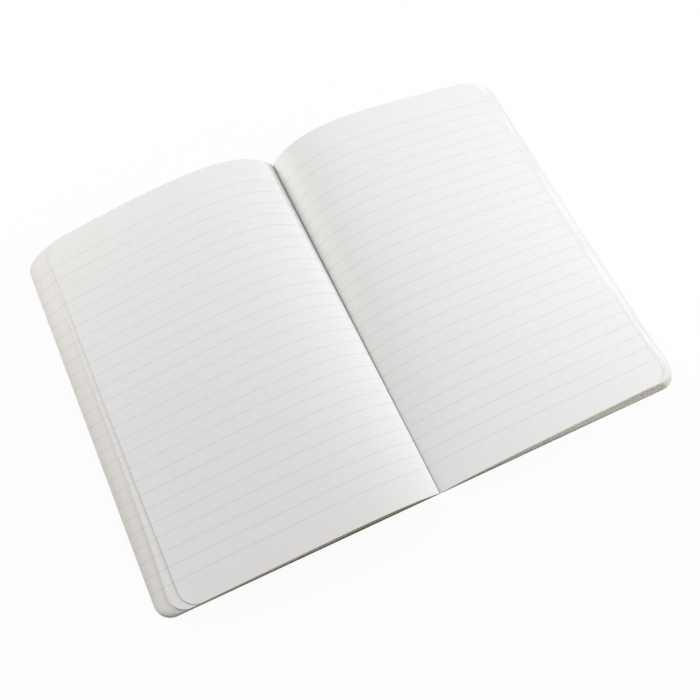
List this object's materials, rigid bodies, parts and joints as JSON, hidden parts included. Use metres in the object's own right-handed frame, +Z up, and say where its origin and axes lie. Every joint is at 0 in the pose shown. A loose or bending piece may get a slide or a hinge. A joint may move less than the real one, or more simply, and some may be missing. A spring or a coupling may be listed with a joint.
{
  "type": "open notebook",
  "caption": "Open ruled notebook lying flat on its soft card covers, with arched pages and fanned fore edges.",
  "frame": {"origin": "under the middle of the spine, halfway up the page, at table level", "axes": "+X from the left page to the right page, +Y up the pages, +Z up off the table"},
  "size_m": [0.292, 0.216, 0.0243],
  "materials": {
    "paper": "uncoated writing paper with thin pale grey ruled lines",
    "card": "plain uncoated cover card"
  },
  "bodies": {
    "page_block": {"pages": "paper", "spine": "card"},
    "front_cover": {"front_cover": "card"},
    "back_cover": {"back_cover": "card"}
  },
  "joints": [
    {"name": "front_cover_hinge", "type": "hinge", "parent": "page_block", "child": "front_cover", "pos_m": [-0.006, 0, 0], "axis": [0, -1, 0], "range_deg": [0, 90]},
    {"name": "back_cover_hinge", "type": "hinge", "parent": "page_block", "child": "back_cover", "pos_m": [0.006, 0, 0], "axis": [0, 1, 0], "range_deg": [0, 90]}
  ]
}
